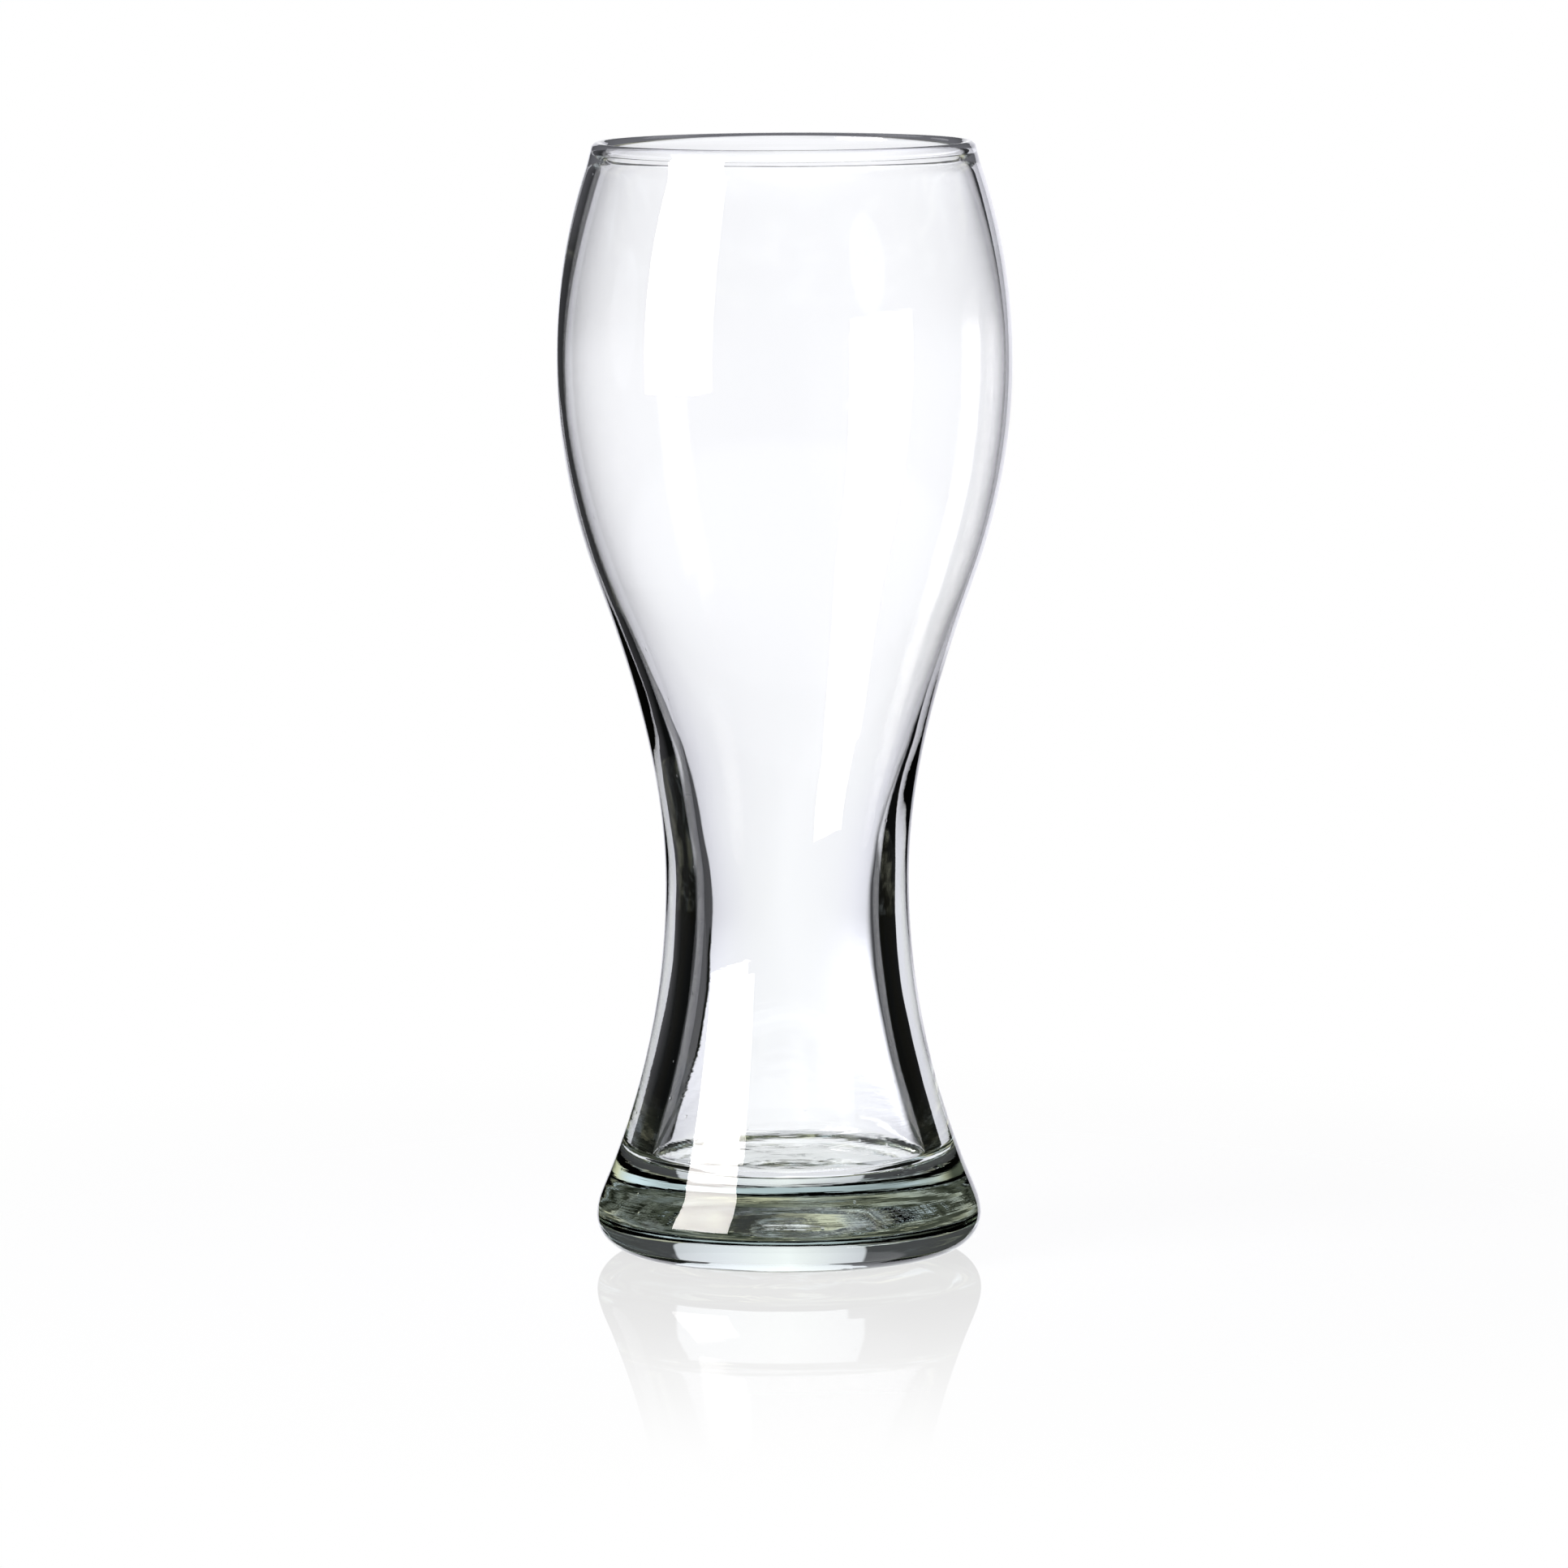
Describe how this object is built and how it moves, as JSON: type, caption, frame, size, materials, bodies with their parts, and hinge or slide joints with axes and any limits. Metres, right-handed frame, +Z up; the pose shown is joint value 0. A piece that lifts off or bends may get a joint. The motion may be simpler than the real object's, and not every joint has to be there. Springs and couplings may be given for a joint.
{
  "type": "weizen glass",
  "caption": "Tall clear wheat-beer glass with a bulged thin bowl, a slim thick-walled waist and a heavy flared foot.",
  "frame": {"origin": "centre of the flat ring that the glass stands on", "axes": "+Z up along the glass's axis of revolution, towards the mouth; X and Y are any two level directions"},
  "size_m": [0.0914, 0.0914, 0.224],
  "materials": {
    "clear_glass": "clear soda-lime glass, fire-polished, faintly green where it is thick"
  },
  "bodies": {
    "root": {"glass_body": "clear_glass"}
  },
  "joints": []
}
